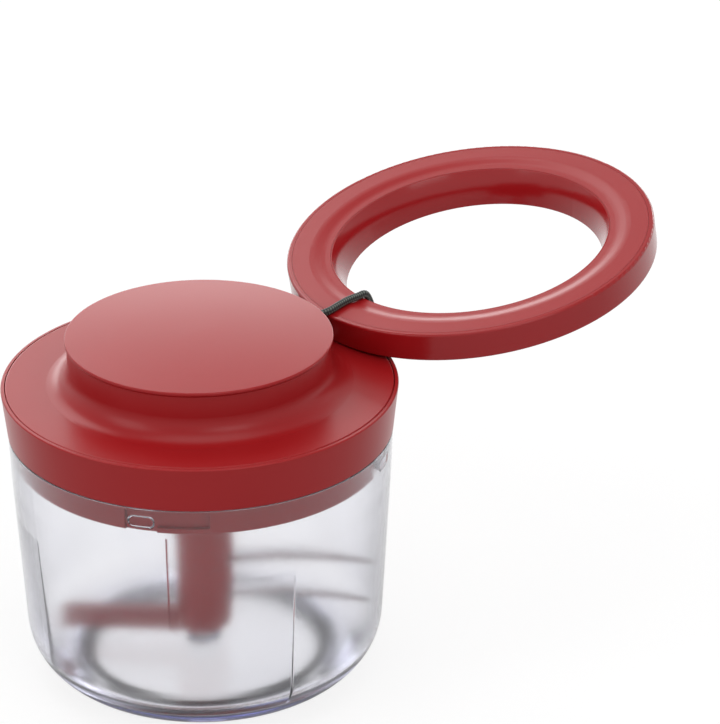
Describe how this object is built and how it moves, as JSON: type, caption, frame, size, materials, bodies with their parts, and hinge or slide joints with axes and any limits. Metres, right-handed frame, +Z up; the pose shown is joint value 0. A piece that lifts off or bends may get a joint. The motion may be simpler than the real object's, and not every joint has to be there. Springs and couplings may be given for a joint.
{
  "type": "pull cord food chopper",
  "caption": "Hand food chopper with a clear round bowl, a red screw-down lid and a ring handle on a cord that spins the blade column.",
  "frame": {"origin": "where the bowl's axis meets the table, in the plane of the foot ring's underside", "axes": "+Z up along the bowl's axis, +X the way the cord is pulled, with the ring handle on that side"},
  "size_m": [0.2661, 0.1436, 0.1502],
  "materials": {
    "clear_plastic": "clear moulded plastic, the inner face finely frosted below the rim",
    "foot_rubber": "dark grey non-slip rubber",
    "seal_rubber": "pale silicone",
    "red_plastic": "deep red, satin",
    "red_gloss_plastic": "deep red, glossier on the walls of the handle",
    "white_plastic": "natural white bearing plastic",
    "steel": "stainless steel",
    "blade_steel": "stainless blade steel with a ground edge",
    "spring_steel": "blued spring steel",
    "brass_bush": "turned brass",
    "black_cord": "braided cord, black with a few light threads"
  },
  "bodies": {
    "bowl": {"bowl": "clear_plastic", "foot_ring": "foot_rubber", "centre_pin": "steel"},
    "lid": {"lid_base": "red_plastic", "lid_seal": "seal_rubber", "top_cover": "red_plastic", "cover_screws": "steel", "carrier_plate": "white_plastic", "carrier_screws": "steel", "reel_axle": "steel", "axle_clip": "steel", "guide_post": "steel", "cord_eyelet": "steel", "lead_cord": "black_cord"},
    "reel": {"cord_reel": "white_plastic", "reel_flange": "white_plastic", "reel_bush": "brass_bush", "wound_cord": "black_cord", "coil_spring": "spring_steel", "pawl_pins": "steel", "pawl_springs": "spring_steel"},
    "front_pawl": {"front_pawl": "steel"},
    "rear_pawl": {"rear_pawl": "steel"},
    "drive": {"drive_shaft": "white_plastic", "drive_clip": "steel", "ratchet_ring": "steel"},
    "blades": {"blade_column": "red_plastic", "column_bush": "white_plastic", "upper_blade": "blade_steel", "lower_blade": "blade_steel", "mixing_arm": "red_plastic"},
    "cord_end": {"cord_knot": "black_cord"},
    "handle": {"cord_loop": "black_cord", "handle_ring": "red_gloss_plastic", "handle_cap": "red_plastic", "handle_screws": "steel"}
  },
  "joints": [
    {"name": "lid_lift", "type": "slide", "parent": "bowl", "child": "lid", "axis": [0, 0, 1], "range_m": [0, 0.12]},
    {"name": "cord_pull", "type": "slide", "parent": "lid", "child": "cord_end", "axis": [1, 0, 0], "range_m": [0, 0.4], "stiffness_N_per_m": 12, "springref_m": -0.3},
    {"name": "handle_tilt", "type": "hinge", "parent": "cord_end", "child": "handle", "pos_m": [0.0514, 0, 0.1254], "axis": [0, -1, 0], "range_deg": [0, 70]},
    {"name": "reel_spin", "type": "hinge", "parent": "lid", "child": "reel", "pos_m": [0, 0, 0.12], "axis": [0, 0, 1], "range_deg": [0, 840]},
    {"name": "drive_spin", "type": "hinge", "parent": "lid", "child": "drive", "pos_m": [0, 0, 0.1], "axis": [0, 0, 1], "range_deg": [0, 840]},
    {"name": "blade_spin", "type": "hinge", "parent": "bowl", "child": "blades", "pos_m": [0, 0, 0.05], "axis": [0, 0, 1], "range_deg": [0, 840]},
    {"name": "front_pawl_swing", "type": "hinge", "parent": "reel", "child": "front_pawl", "pos_m": [0.011, 0, 0.1077], "axis": [0, 0, 1], "range_deg": [0, 10], "stiffness_Nm_per_rad": 0.0005, "springref_deg": -28.65},
    {"name": "rear_pawl_swing", "type": "hinge", "parent": "reel", "child": "rear_pawl", "pos_m": [-0.011, 0, 0.1077], "axis": [0, 0, 1], "range_deg": [0, 10], "stiffness_Nm_per_rad": 0.0005, "springref_deg": -28.65}
  ],
  "couplings": [
    {"joint": "reel_spin", "follows": "cord_pull", "rad_per_m": 36.63},
    {"joint": "drive_spin", "follows": "cord_pull", "rad_per_m": 36.63},
    {"joint": "blade_spin", "follows": "cord_pull", "rad_per_m": 36.63}
  ]
}
